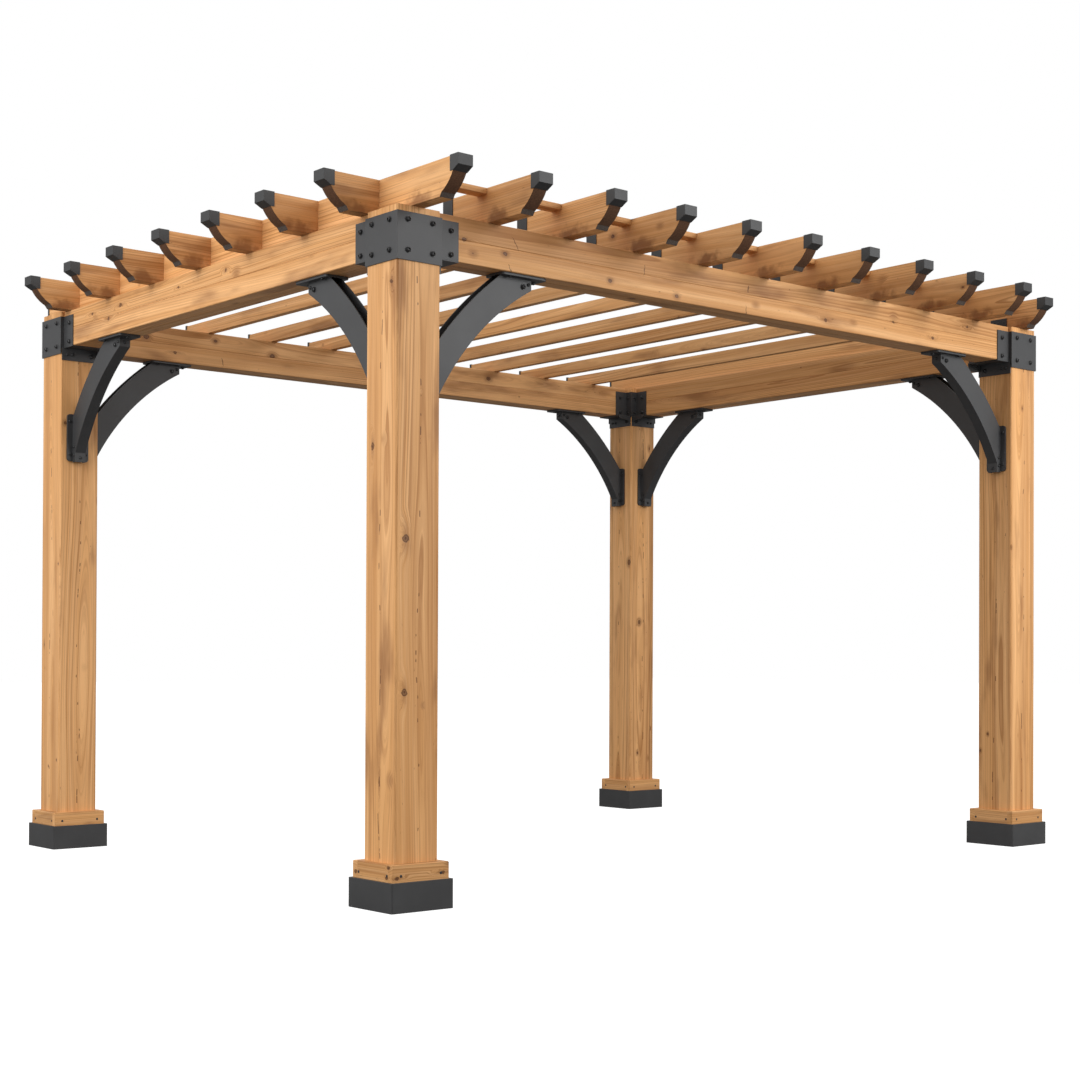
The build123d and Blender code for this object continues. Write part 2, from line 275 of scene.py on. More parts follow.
def cedar_figure(look):
    """Group that grows cedar round a pith: rings, fibres, knots, clouds and a tone for each board, and
    paints contact shade low on the tails where they meet the beams.
    """
    group, given, result = group_shell(
        "Cedar figure",
        {
            "Point": "Vector",
            "Board": "Vector",
            "Pith spread": "Float",
            "Mark distance": "Float",
            "Swell": "Float",
            "Painted contact shade": "Float",
            "Cut": "Float",
            "Heel": "Float",
        },
        {"Colour": "Color", "Roughness": "Float", "Height": "Float"},
    )
    point, board, pith_spread, near, swell, contact_shade, cut, heel = given.outputs[:8]

    # Each board has its own chance: a tone, a place along the log and a pith near its middle
    chance = add_node(group, "ShaderNodeTexWhiteNoise", {"Vector": board})
    spread = centred(group, chance.outputs["Color"])
    log = vector_math(group, "ADD", point, vector_math(group, "MULTIPLY", spread, (3, 3, 9)))
    shift = add_node(group, "ShaderNodeVectorMath", {0: spread, "Scale": pith_spread}, operation="SCALE")
    pith = vector_math(group, "ADD", board, shift.outputs[0])

    # Knots are balls on a loose lattice, longer along the grain, at true scale
    lattice = Vector((0.07, 0.07, 0.26))
    stretch = Vector((1, 1, 0.7))
    least_knot = 0.001
    cell = vector_math(group, "DIVIDE", log, lattice)
    balls = add_node(group, "ShaderNodeTexVoronoi", {"Vector": cell, "Scale": 1.0, "Randomness": 1.0})
    off = vector_math(group, "SUBTRACT", cell, balls.outputs["Position"])
    knot_distance = vector_math(group, "LENGTH", vector_math(group, "MULTIPLY", off, lattice * stretch))
    size = math(group, "MULTIPLY", math(group, "POWER", chance_of(group, balls), 2.0), look.knot_size)
    size = math(group, "ADD", size, least_knot)
    ragged = math(group, "MULTIPLY", noise(group, stretched(group, log, 1, 0.5), 260, 3), 0.006)
    ragged = math(group, "ADD", knot_distance, math(group, "SUBTRACT", ragged, 0.003))
    edge = math(group, "DIVIDE", ragged, size)
    edge = math(group, "MINIMUM", edge, near)
    knot = fade(group, edge, 1.0, 0.72)
    heart = fade(group, math(group, "ABSOLUTE", math(group, "SUBTRACT", edge, 0.45)), 0.25, 0.05)
    ratio = math(group, "DIVIDE", knot_distance, size)
    halo = math(group, "MAXIMUM", fade(group, ratio, 2.6, 0.7), math(group, "POWER", swell, 2.5))

    # Rings run round the pith in uneven bands, wander along the log and bend round the knots
    inputs = {"Vector": stretched(group, log, 4.0, 0.55), "Scale": 1.0, "Detail": 2.0, "Roughness": 0.4}
    wander = add_node(group, "ShaderNodeTexNoise", inputs)
    sway = vector_math(group, "MULTIPLY", centred(group, wander.outputs["Color"]), (0.09, 0.09, 0))
    off_pith = vector_math(group, "MULTIPLY", vector_math(group, "SUBTRACT", point, pith), (1, 1, 0))
    radius = vector_math(group, "LENGTH", vector_math(group, "ADD", off_pith, sway))
    bulge = math(group, "MULTIPLY", fade(group, ratio, 2.4, 0.0), math(group, "MULTIPLY", size, 1.1))
    radius = math(group, "ADD", radius, bulge)
    radius = math(group, "ADD", radius, math(group, "MULTIPLY", swell, 0.02))
    layers = {0: radius, 1: chance.outputs["Value"], 2: axes_of(group, log)[2]}
    layers = add_node(group, "ShaderNodeCombineXYZ", layers).outputs[0]
    bands = noise(group, vector_math(group, "MULTIPLY", layers, (70, 9, 0.45)), 1.0, 2, 0.55)
    lines = noise(group, vector_math(group, "MULTIPLY", layers, (270, 9, 0.8)), 1.0, 3, 0.6)
    off_line = math(group, "ABSOLUTE", math(group, "SUBTRACT", lines, 0.48))
    count = math(group, "DIVIDE", radius, look.ring_width)
    ring = math(group, "FRACT", math(group, "ADD", count, math(group, "MULTIPLY", bands, 2.4)))
    late = math(group, "MULTIPLY", fade(group, ring, 0.5, 0.94), fade(group, ring, 1.0, 0.95))
    patchy = fade(group, noise(group, stretched(group, log, 7, 0.8), 1.0, 2), 0.36, 0.62, 0, 0.6)

    # Fibres, columns of pin marks, long streaks and broad brown clouds run with the grain
    fibre = noise(group, stretched(group, log, 430, 6), 1.0, 3, 0.62)
    streak = noise(group, stretched(group, log, 19, 0.4), 1.0, 2, 0.5)
    cloud = noise(group, stretched(group, log, 12, 2.6), 1.0, 3, 0.5)
    pins = fade(group, noise(group, stretched(group, log, 170, 42), 1.0, 2, 0.5), 0.66, 0.75)
    columns = fade(group, noise(group, stretched(group, log, 46, 0.5), 1.0, 1, 0.5), 0.6, 0.68, 0, 0.8)
    pins = math(group, "MULTIPLY", pins, columns)
    marks = math(group, "SUBTRACT", knot, math(group, "MULTIPLY", heart, 0.35))
    marks = math(group, "MAXIMUM", marks, pins)

    # Colours lie over each other from the pale wood up, each as (share, colour)
    colour = look.light
    for share, tint in (
        (fade(group, bands, 0.36, 0.64), look.warm),
        (fade(group, streak, 0.42, 0.7, 0, 0.45), look.deep),
        (fade(group, lines, 0.44, 0.74, 0, 0.3), look.ring),
        (fade(group, off_line, 0.055, 0.0, 0, 0.3), look.ring),
        (math(group, "MULTIPLY", late, patchy), look.ring),
        (fade(group, fibre, 0.5, 0.78, 0, 0.3), look.ring),
        (fade(group, cloud, 0.53, 0.75, 0, 0.62), look.cloud_and_shade_brown),
        (math(group, "MULTIPLY", halo, 0.55), look.cloud_and_shade_brown),
        # Painted contact shade low on the tails where they meet the beams, in the brown of the clouds
        (contact_shade, look.cloud_and_shade_brown),
        (math(group, "MULTIPLY", marks, 0.9), look.knot),
    ):
        colour = blend(group, share, colour, tint)
    tone = fade(group, chance.outputs["Value"], 0, 1, 0.88, 1.06)
    colour = blend(group, 1.0, colour, grey(group, tone), "MULTIPLY")

    # The stained cuts show end grain through a dark stain, and their heels are bare
    stain = fade(group, noise(group, log, 260, 3, 0.7), 0.3, 0.75, 0.7, 1.4)
    stained = blend(group, 1.0, blend(group, heel, look.walnut, look.heel), grey(group, stain), "MULTIPLY")
    colour = blend(group, cut, colour, stained)

    # Fibres and rings stand proud, knots are sunk and smoother
    height = math(group, "ADD", math(group, "MULTIPLY", fibre, 0.5), math(group, "MULTIPLY", lines, 0.4))
    height = math(group, "SUBTRACT", height, math(group, "MULTIPLY", marks, 0.6))
    rough = math(group, "ADD", math(group, "MULTIPLY", fibre, 0.22), look.roughness - 0.12)
    rough = math(group, "SUBTRACT", rough, math(group, "MULTIPLY", knot, 0.12))
    for socket, value in enumerate((colour, rough, height)):
        group.links.new(value, result.inputs[socket])
    return group


def centred(tree, value):
    """A random colour as a vector round nought."""
    return vector_math(tree, "SUBTRACT", value, (0.5, 0.5, 0.5))


def chance_of(tree, voronoi):
    """One random number for each Voronoi cell."""
    return add_node(tree, "ShaderNodeSeparateColor", {"Color": voronoi.outputs["Color"]}).outputs[0]


def grey(tree, value):
    """A number as a grey colour."""
    return add_node(tree, "ShaderNodeCombineColor", {0: value, 1: value, 2: value}).outputs[0]


def axes_of(tree, source):
    """X, Y and Z of a vector."""
    return add_node(tree, "ShaderNodeSeparateXYZ", {0: source}).outputs


def along(tree, parts, grain):
    """Point with the grain as its third axis."""
    order = {"X": (1, 2, 0), "Y": (0, 2, 1), "Z": (0, 1, 2)}[grain]
    inputs = {socket: parts[axis] for socket, axis in enumerate(order)}
    return add_node(tree, "ShaderNodeCombineXYZ", inputs).outputs[0]


def new_material(name):
    """Material with an empty tree and its Principled shader, as (material, tree, shader)."""
    material = bpy.data.materials.new(name)
    material.use_nodes = True
    tree = material.node_tree
    tree.nodes.clear()
    shader = tree.nodes.new("ShaderNodeBsdfPrincipled")
    output = tree.nodes.new("ShaderNodeOutputMaterial")
    tree.links.new(shader.outputs[0], output.inputs[0])
    return material, tree, shader


def marks_near(tree, place, grain, marks):
    """Distance to the nearest mark in half sizes, and how far the grain swells round the knots."""
    slim = {"X": (0.13, 0.45, 0.45), "Y": (0.45, 0.13, 0.45), "Z": (0.45, 0.45, 0.13)}[grain]
    warp = add_node(tree, "ShaderNodeTexNoise", {"Vector": place, "Scale": 70.0, "Detail": 2.0})
    warp = vector_math(tree, "MULTIPLY", centred(tree, warp.outputs["Color"]), (0.011, 0.011, 0.011))
    bent = vector_math(tree, "ADD", place, warp)
    nearest = swell = FAR_AWAY
    for middle, half, lean in marks:
        off = vector_math(tree, "SUBTRACT", bent, middle)
        if lean:
            inputs = {"Vector": off, "Angle": lean}
            off = add_node(tree, "ShaderNodeVectorRotate", inputs, rotation_type="Y_AXIS").outputs[0]
        reach = vector_math(tree, "DIVIDE", off, half)
        nearest = math(tree, "MINIMUM", nearest, vector_math(tree, "LENGTH", reach))
        if not lean:
            reach = vector_math(tree, "MULTIPLY", reach, slim)
            swell = math(tree, "MINIMUM", swell, vector_math(tree, "LENGTH", reach))
    return nearest, fade(tree, swell, 1.0, 0.0)


def post_ticks(tree, place, parts):
    """Distance to the brown ticks down the middle of each post face, in half widths."""
    half_width = 0.0026
    middle_x = abs(POST_LOW.x + POST_HIGH.x) / 2
    middle_y = MID_Y - (POST_LOW.y + POST_HIGH.y) / 2
    off_y = math(tree, "ABSOLUTE", math(tree, "SUBTRACT", parts[1], MID_Y))
    sway = fade(tree, noise(tree, stretched(tree, place, 1, 2.5), 1.0, 2), 0.3, 0.7, -0.009, 0.009)
    off = FAR_AWAY
    for span, middle in ((math(tree, "ABSOLUTE", parts[0]), middle_x), (off_y, middle_y)):
        aside = math(tree, "ADD", math(tree, "SUBTRACT", span, middle), sway)
        off = math(tree, "MINIMUM", off, math(tree, "ABSOLUTE", aside))
    broken = fade(tree, noise(tree, stretched(tree, place, 9, 24), 1.0, 2), 0.62, 0.53, 0.15, 3.0)
    return math(tree, "ADD", math(tree, "DIVIDE", off, half_width), broken)


def painted_contact_shade(tree, place, tip):
    """Painted contact shade: a brown smudge low on each tail, where it meets the beam and shade falls."""
    long, tall, rise, inward, deep = 0.075, 0.034, 0.008, 0.035, 1000
    side_face = BEAM_LOW.y - POST_LOW.y + POST_LOW.x
    out = BEAM_LOW.y * -tip[1] if tip[1] else side_face * -tip[0]
    out = out + inward * (tip[0] + tip[1])
    middle = (out, 0, FRAME_TOP + rise) if tip[0] else (0, out, FRAME_TOP + rise)
    size = (long, deep, tall) if tip[0] else (deep, long, tall)
    off = vector_math(tree, "SUBTRACT", place, middle)
    reach = vector_math(tree, "LENGTH", vector_math(tree, "DIVIDE", off, size))
    ragged = fade(tree, noise(tree, place, 24, 2), 0.3, 0.7, -0.35, 0.35)
    return fade(tree, math(tree, "ADD", reach, ragged), 1.1, 0.15, 0.0, 0.75)


def board_middle(tree, point, width, start):
    """Middle of the board round a grain-space point. A board has no end: it reaches past both sides of 0."""
    reach = 1000
    shifted = vector_math(tree, "SUBTRACT", point, (*start, -reach / 2))
    cell = vector_math(tree, "FLOOR", vector_math(tree, "DIVIDE", shifted, (*width, reach)))
    middle = vector_math(tree, "MULTIPLY", vector_math(tree, "ADD", cell, (0.5, 0.5, 0.5)), (*width, 1))
    return vector_math(tree, "ADD", middle, (*start, 0))


def cedar(name, look, grain, width, start, pith=0.2, marks=(), ticks=False, tip=None, other=None):
    """Cedar with its grain along X, Y or Z, cut into boards of width from start across the grain.

    pith is how far the pith may lie from a board's middle. marks are knots and checks at set places.
    ticks says that brown ticks run down the posts' faces. tip is the way that the stained tail cuts face; it
    also turns on the painted contact shade low on the tails where they meet the beams.
    other is a function that gives the grain and the switch for boards that lie across.
    """
    material, tree, shader = new_material(name)
    place = add_node(tree, "ShaderNodeTexCoord").outputs["Object"]
    parts = axes_of(tree, place)
    point = along(tree, parts, grain)
    if other:
        across, switch = other(tree, parts)
        inputs = {0: switch, 4: point, 5: along(tree, parts, across)}
        point = add_node(tree, "ShaderNodeMix", inputs, data_type="VECTOR").outputs[1]
    board = board_middle(tree, point, width, start)
    near, swell = FAR_AWAY, 0.0
    if marks:
        near, swell = marks_near(tree, place, grain, marks)
    if ticks:
        near = math(tree, "MINIMUM", near, post_ticks(tree, place, parts))
    contact_shade = cut = heel = 0.0
    if tip:
        flat = add_node(tree, "ShaderNodeNewGeometry").outputs["True Normal"]
        cut = fade(tree, vector_math(tree, "DOT_PRODUCT", flat, tip), 0.2, 0.35)
        heel = math(tree, "LESS_THAN", parts[2], FRAME_TOP + HEEL_RISE)
        # Painted contact shade where the tails meet the beams
        contact_shade = painted_contact_shade(tree, place, tip)
    figure = add_node(tree, "ShaderNodeGroup")
    figure.node_tree = bpy.data.node_groups["Cedar figure"]
    for socket, value in enumerate((point, board, pith, near, swell, contact_shade, cut, heel)):
        if isinstance(value, bpy.types.NodeSocket):
            tree.links.new(value, figure.inputs[socket])
        else:
            figure.inputs[socket].default_value = value
    soft = add_node(tree, "ShaderNodeBevel", {"Radius": look.arris}, samples=4)
    bump = {"Strength": 0.35, "Distance": 0.0012}
    bump |= {"Height": figure.outputs["Height"], "Normal": soft.outputs[0]}
    surface = {
        "Base Color": figure.outputs["Colour"],
        "Roughness": figure.outputs["Roughness"],
        "Normal": add_node(tree, "ShaderNodeBump", bump).outputs[0],
    }
    for socket, value in surface.items():
        tree.links.new(value, shader.inputs[socket])
    shader.inputs["Specular IOR Level"].default_value = 0.15
    return material


def coated_steel(name, colour, worn, roughness, edge, grain=900.0):
    """Powder-coated steel: fine orange peel, faint clouds and edges rubbed lighter."""
    material, tree, shader = new_material(name)
    place = add_node(tree, "ShaderNodeTexCoord").outputs["Object"]
    peel = noise(tree, place, grain, 2, 0.6)
    cloud = noise(tree, place, 7.0, 4, 0.6)
    soft = add_node(tree, "ShaderNodeBevel", {"Radius": edge}, samples=6)
    flat = add_node(tree, "ShaderNodeNewGeometry").outputs["Normal"]
    turn = vector_math(tree, "DOT_PRODUCT", soft.outputs[0], flat)
    rubbed = math(tree, "MULTIPLY", fade(tree, turn, 0.995, 0.86), fade(tree, cloud, 0.3, 0.7, 0.3, 0.9))
    tint = blend(tree, 1.0, colour, grey(tree, fade(tree, cloud, 0.25, 0.75, 0.88, 1.12)), "MULTIPLY")
    bump = {"Strength": 0.12, "Distance": 0.0004, "Height": peel, "Normal": soft.outputs[0]}
    surface = {
        "Base Color": blend(tree, rubbed, tint, worn),
        "Roughness": math(tree, "ADD", math(tree, "MULTIPLY", cloud, 0.16), roughness - 0.08),
        "Normal": add_node(tree, "ShaderNodeBump", bump).outputs[0],
    }
    for socket, value in surface.items():
        tree.links.new(value, shader.inputs[socket])
    shader.inputs["Specular IOR Level"].default_value = 0.4
    return material


def dress(names, material):
    """Give CAD nodes a material."""
    for name in names:
        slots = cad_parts[name].material_slots
        if not slots:
            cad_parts[name].data.materials.append(material)
        for slot in slots:
            slot.material = material


def named(*starts):
    """CAD nodes whose names begin so, in order."""
    found = sorted(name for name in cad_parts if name.startswith(starts))
    if not found:
        raise RuntimeError(f"the frame has no node that begins with {starts}")
    return found


# Fasteners


def facing(point, normal):
    """Place that stands on point and looks along normal."""
    return Matrix.Translation(point) @ Vector(normal).to_track_quat("Z", "Y").to_matrix().to_4x4()


def at_corners(point, normal):
    """A place at the front left post, mirrored to all four corners."""
    x, y, z = point
    for side_x, side_y in CORNERS:
        spot = (-side_x * x, MID_Y - side_y * (y - MID_Y), z)
        yield facing(spot, (-side_x * normal[0], -side_y * normal[1], normal[2]))


def head_profile(radius, height, washer):
    """Section of a domed head with a hexagon socket and a washer, as (radius, height, is socket)."""
    rim = washer * 0.16
    socket = radius * 0.46
    dome = [radians(90 - step * 15) for step in range(2, 7)]
    points = [(0.0, rim + height * 0.45, True), (socket * 0.92, rim + height * 0.45, True)]
    points += [(socket, rim + height * 0.93, True), (socket * 1.12, rim + height, False)]
    points += [(radius * cos(a) ** 0.7, rim + height * (0.3 + 0.7 * sin(a)), False) for a in dome]
    points += [(radius, rim, False), (washer * 0.94, rim, False), (washer, rim * 0.6, False)]
    points += [(washer, 0.0, False)]
    return points


def spun(profile, steps=24):
    """Vertices and faces of a section turned round Z. A socket's points go round a hexagon."""
    sixth = pi / 3
    points = []
    for radius, height, is_socket in profile[1:]:
        for step in range(steps):
            angle = 2 * pi * step / steps
            reach = radius * cos(pi / 6) / cos(angle % sixth - pi / 6) if is_socket else radius
            points.append(Vector((reach * cos(angle), reach * sin(angle), height)))
    points.append(Vector((0, 0, profile[0][1])))
    centre = len(points) - 1
    faces = [(centre, step, (step + 1) % steps) for step in range(steps)]
    for row in range(len(profile) - 2):
        for step in range(steps):
            after = (step + 1) % steps
            low = row * steps
            faces.append((low + step, low + steps + step, low + steps + after, low + after))
    return points, faces


def stamp(name, places, profile, material):
    """One joined piece with a copy of the turned section at every place."""
    points, faces = spun(profile)
    vertices = []
    polygons = []
    for place in places:
        first = len(vertices)
        vertices += [place @ point for point in points]
        polygons += [tuple(first + corner for corner in face) for face in faces]
    if not vertices:
        raise RuntimeError(f"{name} has no place to stand")
    mesh = bpy.data.meshes.new(name)
    mesh.from_pydata(vertices, [], polygons)
    mesh.validate()
    mesh.shade_smooth()
    mesh.set_sharp_from_angle(angle=radians(38))
    piece = bpy.data.objects.new(name, mesh)
    bpy.context.scene.collection.objects.link(piece)
    mesh.materials.append(material)
    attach(piece, BODY)
    return piece


def bolt_head(sizes):
    """Section of a structural bolt with its washer."""
    return head_profile(sizes.bolt_radius, sizes.bolt_height, sizes.bolt_radius * 1.22)


def small_head(sizes):
    """Section of a small bolt with its washer."""
    return head_profile(sizes.small_radius, sizes.small_height, sizes.small_radius * 1.2)


def screw_head(sizes):
    """Section of a flat screw head that stands half a millimetre proud."""
    radius = sizes.screw_radius
    rise = 0.0006
    points = [(0.0, rise * 0.1, True), (radius * 0.42, rise * 0.1, True), (radius * 0.46, rise, True)]
    return points + [(radius * 0.9, rise, False), (radius, rise * 0.5, False), (radius, 0.0, False)]


def material_named(name):
    """A material that an earlier operator made."""
    found = bpy.data.materials.get(name)
    if found is None:
        raise RuntimeError(f"{name} has to be made first")
    return found


# Operators


class PERGOLA_OT_cedar(bpy.types.Operator):
    """Dress the posts, beams, rafters, tails, filler strips and base boards in cedar"""

    bl_idname = "pergola.cedar"
    bl_label = "Cedar"

    def execute(self, context):
        look = context.scene.pergola_cedar
        cedar_figure(look)
        square = (POST_SIDE, POST_SIDE)
        corner = (POST_LOW.x, POST_LOW.y)
        posts = cedar("Cedar posts", look, "Z", square, corner, 0.05, POST_MARKS, ticks=True)
        dress(named("post_"), posts)

        # Each beam is of two boards across and two up
        boards = (BEAM_HIGH.y - BEAM_LOW.y) / 2, (FRAME_TOP - BEAM_BOTTOM) / 2
        start = (BEAM_LOW.y, BEAM_BOTTOM)
        beams = cedar("Cedar long beams", look, "X", boards, start, marks=LONG_BEAM_MARKS)
        dress(["beam_front", "beam_back"], beams)
        start = (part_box("beam_left")[0].x, BEAM_BOTTOM)
        beams = cedar("Cedar short beams", look, "Y", boards, start, marks=SHORT_BEAM_MARKS)
        dress(["beam_left", "beam_right"], beams)

        # Each rafter and each tail is one board, a cell as wide as the pitch and taller than the piece
        first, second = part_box("rafter_01")[0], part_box("rafter_02")[0]
        pitch = second.x - first.x
        start = (first.x - pitch / 2, FRAME_TOP - 1)
        rafters = cedar("Cedar rafters", look, "Y", (pitch, 2), start, tip=(0, -1, 0))
        dress(named("rafter_0", "rafter_1"), rafters)
        low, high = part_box("side_tails_left")
        pitch = (high.y - low.y) / 6
        start = (low.y - pitch / 2, FRAME_TOP - 1)
        for side, way in (("left", -1), ("right", 1)):
            tails = cedar(f"Cedar tails {side}", look, "X", (pitch, 2), start, tip=(way, 0, 0))
            dress([f"side_tails_{side}"], tails)

        dress(["filler_strips"], cedar("Cedar filler strips", look, "X", (1, 1), (0.3, 0.3)))
        wide, start = (0.1, 1), (0.02, -0.5)
        marks = board_marks()
        boards = cedar("Cedar base boards", look, "X", wide, start, marks=marks, other=short_boards)
        dress(named("base_boards"), boards)
        return {"FINISHED"}


def board_marks():
    """Dark spots round the screws of the front left post's base boards."""
    low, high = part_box("base_boards_front_left")
    level = high.z - 0.036
    return tuple(
        ((across, down, level + rise), (0.009, 0.009, 0.006), 0)
        for across, down, rise in (
            (low.x + 0.014, low.y, -0.003),
            (high.x - 0.022, low.y, 0.004),
            (low.x, low.y + 0.03, -0.003),
            (low.x, low.y + 0.022, 0.028),
            (low.x, high.y - 0.016, 0.003),
        )
    )


def short_boards(tree, parts):
    """The base boards that run along Y: all that is within half a post of a post's middle in Y."""
    off_middle = math(tree, "ABSOLUTE", math(tree, "SUBTRACT", parts[1], MID_Y))
    post_middle = abs((POST_LOW.y + POST_HIGH.y) / 2 - MID_Y)
    off_post = math(tree, "ABSOLUTE", math(tree, "SUBTRACT", off_middle, post_middle))
    return "Y", math(tree, "LESS_THAN", off_post, POST_SIDE / 2)


class PERGOLA_OT_steel(bpy.types.Operator):
    """Coat the boots, brackets, saddles, knee braces, caps and clips"""

    bl_idname = "pergola.steel"
    bl_label = "Coated steel"

    def execute(self, context):
        look = context.scene.pergola_steel
        coat = coated_steel("Powder coat", look.coat, look.worn, look.roughness, look.edge)
        dress(named("corner_bracket", "saddle", "knee_brace"), coat)
        dress(named("boot_"), coated_steel("Boot coat", look.dark, look.worn, look.roughness, look.edge))
        caps = coated_steel("Cap coat", look.cap, look.worn, look.roughness, look.edge)
        dress(named("tail_caps", "rafter_clips"), caps)
        coated_steel("Blackened bolts", look.bolt, look.worn, look.bolt_roughness, look.bolt_edge, 2200.0)
        return {"FINISHED"}


class PERGOLA_OT_bracket_bolts(bpy.types.Operator):
    """Bolt the outer corner brackets: four on each plate and two on each wing"""

    bl_idname = "pergola.bracket_bolts"
    bl_label = "Bracket bolts"

    def execute(self, context):
        low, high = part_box("corner_bracket_front_left")
        sheet = POST_LOW.x - low.x
        recess = BEAM_LOW.y - POST_LOW.y - sheet
        wing_end = high.x - 0.029
        places = []
        for drop in PLATE_ROWS:
            for reach in (0.036, 0.128):
                places += at_corners((POST_LOW.x + reach, low.y, FRAME_TOP - drop), (0, -1, 0))
                places += at_corners((low.x, POST_LOW.y + reach, FRAME_TOP - drop), (-1, 0, 0))
        for drop in WING_ROWS:
            places += at_corners((wing_end, POST_LOW.y + recess, FRAME_TOP - drop), (0, -1, 0))
            side = POST_LOW.y + wing_end - POST_LOW.x
            places += at_corners((POST_LOW.x + recess, side, FRAME_TOP - drop), (-1, 0, 0))
        head = bolt_head(context.scene.pergola_fasteners)
        stamp("bracket_bolts", places, head, material_named("Blackened bolts"))
        return {"FINISHED"}


class PERGOLA_OT_saddle_bolts(bpy.types.Operator):
    """Bolt the inner corner brackets and the legs of the beam seats"""

    bl_idname = "pergola.saddle_bolts"
    bl_label = "Saddle bolts"

    def execute(self, context):
        sizes = context.scene.pergola_fasteners
        sheet = POST_LOW.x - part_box("corner_bracket_front_left")[0].x
        beam_face = BEAM_HIGH.y + sheet
        exposed = (INNER_Y - BEAM_HIGH.y) / 2
        offset = POST_LOW.x - POST_LOW.y
        wing = 0.046
        big = []
        small = []
        for drop in WING_ROWS:
            level = FRAME_TOP - drop
            big += at_corners((INNER_X + wing, beam_face, level), (0, 1, 0))
            big += at_corners((beam_face + offset, INNER_Y + wing, level), (1, 0, 0))
            small += at_corners((INNER_X + sheet, INNER_Y - exposed, level), (1, 0, 0))
            small += at_corners((INNER_X - exposed, INNER_Y + sheet, level), (0, 1, 0))
        level = BEAM_BOTTOM - 0.027
        for reach, heads in ((0.128, big), (0.048, small), (0.026, small)):
            heads += at_corners((INNER_X + sheet, POST_LOW.y + reach, level), (1, 0, 0))
            heads += at_corners((POST_LOW.x + reach, INNER_Y + sheet, level), (0, 1, 0))
        under = BEAM_BOTTOM - sheet
        out, aside = 0.055, 0.03
        small += at_corners((INNER_X + out, INNER_Y - aside, under), (0, 0, -1))
        small += at_corners((INNER_X - aside, INNER_Y + out, under), (0, 0, -1))
        bolts = material_named("Blackened bolts")
        stamp("saddle_bolts", big, bolt_head(sizes), bolts)
        stamp("saddle_small_bolts", small, small_head(sizes), bolts)
        return {"FINISHED"}


class PERGOLA_OT_brace_bolts(bpy.types.Operator):
    """Bolt the knee braces: cheeks, end faces, toes and mount plates"""

    bl_idname = "pergola.brace_bolts"
    bl_label = "Brace bolts"

    def execute(self, context):
        sizes = context.scene.pergola_fasteners
        low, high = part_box("knee_brace_x_front_left")
        reach = high.x - low.x
        cheek = 0.022
        plate = 0.008
        head = reach - 0.048
        toe = 0.03
        big = []
        small = []
        for side, way in ((-cheek, (0, -1, 0)), (cheek, (0, 1, 0))):
            big += self.along_both(head - 0.034, side, 0.033, way)
            for away, drop in ((head - 0.012, 0.024), (0.019, 0.392), (0.019, 0.425)):
                small += self.along_both(away, side, drop, way)
        for side in (-0.034, 0.034):
            small += self.along_both(head - 0.1, side, plate, (0, 0, -1))
            for drop in (0.29, 0.42):
                small += self.along_both(plate, side, drop, (1, 0, 0))
        small += self.along_both(head, 0, 0.026, (1, 0, 0))
        small += self.along_both(toe, 0, 0.435, (1, 0, 0))
        big += self.along_both(reach - 0.022, 0, plate, (0, 0, -1))
        bolts = material_named("Blackened bolts")
        stamp("brace_bolts", big, bolt_head(sizes), bolts)
        stamp("brace_small_bolts", small, small_head(sizes), bolts)
        return {"FINISHED"}

    def along_both(self, away, side, drop, way):
        """Places on the brace along X and the one along Y, away from the post and down from the beam."""
        middle_y = (BEAM_LOW.y + BEAM_HIGH.y) / 2
        middle_x = middle_y - POST_LOW.y + POST_LOW.x
        level = BEAM_BOTTOM - drop
        yield from at_corners((INNER_X + away, middle_y + side, level), way)
        yield from at_corners((middle_x + side, INNER_Y + away, level), (way[1], way[0], way[2]))


class PERGOLA_OT_screws(bpy.types.Operator):
    """Screw the base boards, the filler strips and the rafter clips"""

    bl_idname = "pergola.screws"
    bl_label = "Screws"

    def execute(self, context):
        sizes = context.scene.pergola_fasteners
        low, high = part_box("base_boards_front_left")
        inset = 0.03
        level = high.z - 0.033
        places = []
        for across in (low.x + inset, high.x - inset):
            down = across - low.x + low.y
            places += at_corners((across, low.y, level), (0, -1, 0))
            places += at_corners((across, high.y, level), (0, 1, 0))
            places += at_corners((low.x, down, level), (-1, 0, 0))
            places += at_corners((high.x, down, level), (1, 0, 0))
        screw = screw_head(sizes)
        bolts = material_named("Blackened bolts")
        stamp("base_board_screws", places, screw, bolts)

        places = []
        strip_low, strip_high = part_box("filler_strips")
        middle = (strip_low.y + strip_high.y) / 2
        beside, apart = 0.018, 0.012
        for name in named("rafter_0", "rafter_1"):
            rafter_low, rafter_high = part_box(name)
            for x in (rafter_low.x - beside, rafter_high.x + beside):
                if strip_low.x < x < strip_high.x:
                    for y in (middle - apart, middle + apart):
                        places.append(facing((x, y, strip_high.z), (0, 0, 1)))
        stamp("filler_screws", places, screw, bolts)

        places = []
        clip_low, clip_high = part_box("rafter_clips")
        sheet = 0.003
        for side, way in ((clip_low.x + sheet, 1), (clip_high.x - sheet, -1)):
            for back in (0.016, 0.044, 0.066):
                for rise in (0.014, 0.036):
                    spot = (side, clip_low.y + back, clip_low.z + rise)
                    places.append(facing(spot, (way, 0, 0)))
        stamp("clip_screws", places, screw, bolts)
        return {"FINISHED"}


